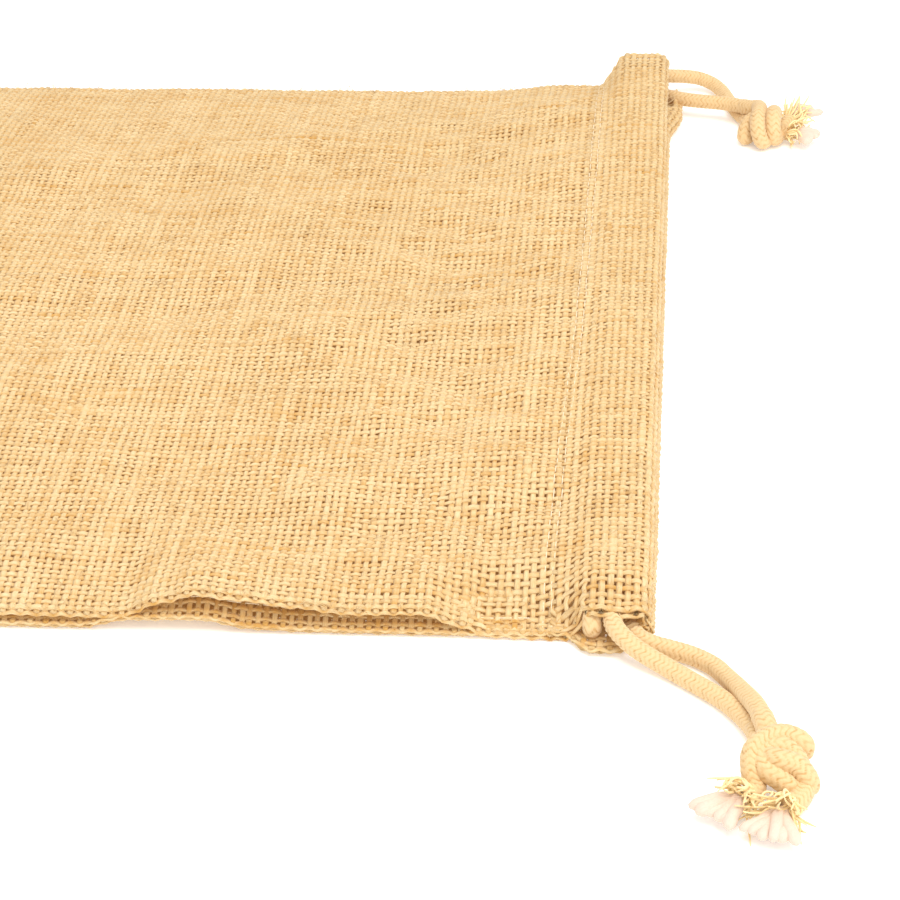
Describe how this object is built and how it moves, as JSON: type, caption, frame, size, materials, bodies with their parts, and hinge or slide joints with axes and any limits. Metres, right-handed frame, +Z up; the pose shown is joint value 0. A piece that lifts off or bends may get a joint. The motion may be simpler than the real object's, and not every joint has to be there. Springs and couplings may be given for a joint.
{
  "type": "drawstring gift pouch",
  "caption": "Flat open-weave jute pouch with a turned hem casing on each side of its mouth and a braided cotton drawcord leaving at each corner, knotted and frayed",
  "frame": {"origin": "under the middle of the cloth, on the surface the pouch lies on", "axes": "+X towards the mouth, +Y towards the far side seam, +Z up from the surface"},
  "size_m": [0.4484, 0.389, 0.0177],
  "materials": {
    "jute": "coarse plain weave",
    "sewing_thread": "smooth spun thread",
    "braided_cotton": "fine herringbone braid",
    "cotton_core": "soft unbraided strands"
  },
  "bodies": {
    "pouch": {"upper_panel": "jute", "lower_panel": "jute", "upper_casing": "jute", "lower_casing": "jute", "bottom_seam": "jute", "bottom_thread": "sewing_thread", "upper_hem_thread_back": "sewing_thread", "upper_hem_thread_front": "sewing_thread", "lower_hem_thread_back": "sewing_thread", "lower_hem_thread_front": "sewing_thread"},
    "near_side": {"near_side_seam": "jute", "near_side_thread": "sewing_thread"},
    "far_side": {"far_side_seam": "jute", "far_side_thread": "sewing_thread"},
    "near_cord": {"near_cord_upper_leg": "braided_cotton", "near_cord_lower_leg": "braided_cotton", "near_cord_turn": "braided_cotton"},
    "far_cord": {"far_cord_upper_leg": "braided_cotton", "far_cord_lower_leg": "braided_cotton", "far_cord_turn": "braided_cotton"},
    "near_end": {"near_strand_upper": "braided_cotton", "near_strand_lower": "braided_cotton", "near_knot": "braided_cotton", "near_tail_left_sheath": "braided_cotton", "near_tail_left_core": "cotton_core", "near_tail_right_sheath": "braided_cotton", "near_tail_right_core": "cotton_core"},
    "far_end": {"far_strand_upper": "braided_cotton", "far_strand_lower": "braided_cotton", "far_knot": "braided_cotton", "far_tail_upper_sheath": "braided_cotton", "far_tail_upper_core": "cotton_core", "far_tail_lower_sheath": "braided_cotton", "far_tail_lower_core": "cotton_core"}
  },
  "joints": [
    {"name": "near_cord_pull", "type": "slide", "parent": "pouch", "child": "near_cord", "axis": [0, -1, 0], "range_m": [0, 0.06]},
    {"name": "far_cord_pull", "type": "slide", "parent": "pouch", "child": "far_cord", "axis": [0, 1, 0], "range_m": [0, 0.06]},
    {"name": "far_side_gather", "type": "hinge", "parent": "pouch", "child": "far_side", "pos_m": [-0.2, 0.15, 0], "axis": [0, 0, -1], "range_deg": [0, 8.6], "deforming": ["upper_panel", "lower_panel", "upper_casing", "lower_casing", "upper_hem_thread_back", "upper_hem_thread_front", "lower_hem_thread_back", "lower_hem_thread_front"]},
    {"name": "near_side_gather", "type": "hinge", "parent": "pouch", "child": "near_side", "pos_m": [-0.2, -0.15, 0], "axis": [0, 0, 1], "range_deg": [0, 8.6]},
    {"name": "near_end_swing", "type": "hinge", "parent": "near_cord", "child": "near_end", "pos_m": [0.1942, -0.151, 0.004], "axis": [0, 0, 1], "range_deg": [-40, 30], "deforming": ["near_strand_upper", "near_strand_lower"]},
    {"name": "far_end_swing", "type": "hinge", "parent": "far_cord", "child": "far_end", "pos_m": [0.1945, 0.151, 0.006], "axis": [0, 0, 1], "range_deg": [-20, 40], "deforming": ["far_strand_upper", "far_strand_lower"]}
  ],
  "couplings": [
    {"joint": "far_side_gather", "follows": "near_cord_pull", "rad_per_m": 2.5},
    {"joint": "near_side_gather", "follows": "far_cord_pull", "rad_per_m": 2.5}
  ]
}
